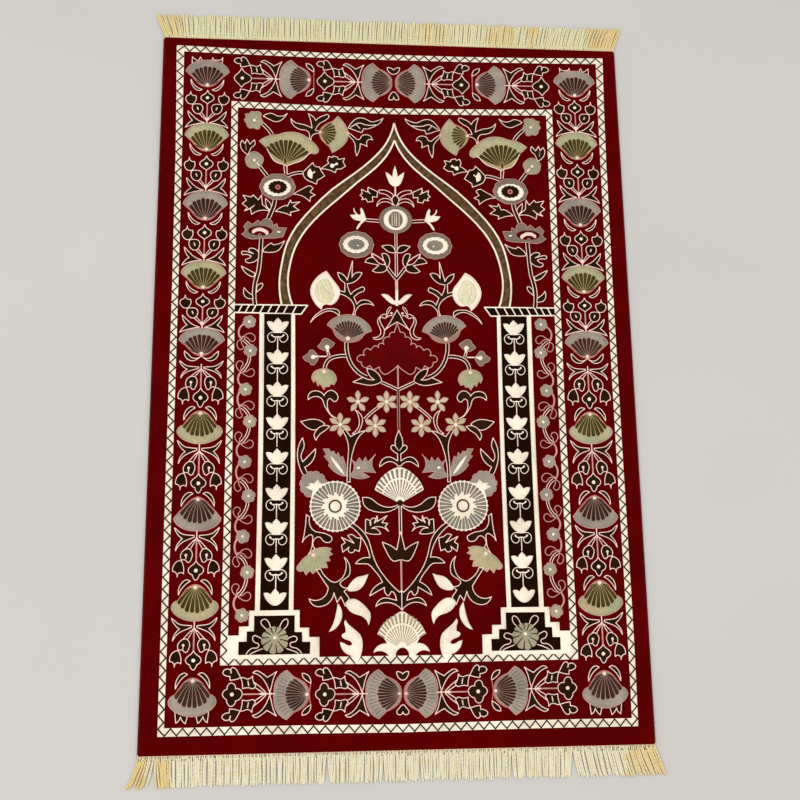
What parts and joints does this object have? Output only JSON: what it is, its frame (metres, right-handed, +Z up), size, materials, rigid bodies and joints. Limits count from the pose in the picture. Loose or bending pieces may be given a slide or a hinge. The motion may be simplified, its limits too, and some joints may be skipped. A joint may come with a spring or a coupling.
{
  "type": "prayer rug",
  "caption": "Flat woven pile prayer rug with a niche pattern, bordered all round, and a string fringe along each short end.",
  "frame": {"origin": "on the surface that the rug lies on, under the middle of the rug", "axes": "+X to the right, +Y towards the niche end, +Z up out of the pile"},
  "size_m": [0.8302, 1.2866, 0.006],
  "materials": {
    "pile": "short cut pile, crimson ground with an ivory, sage, grey and dark umber pattern",
    "fringe_cotton": "undyed twisted cotton"
  },
  "bodies": {
    "root": {"rug_panel": "pile", "fringe_near": "fringe_cotton", "fringe_far": "fringe_cotton"}
  },
  "joints": []
}
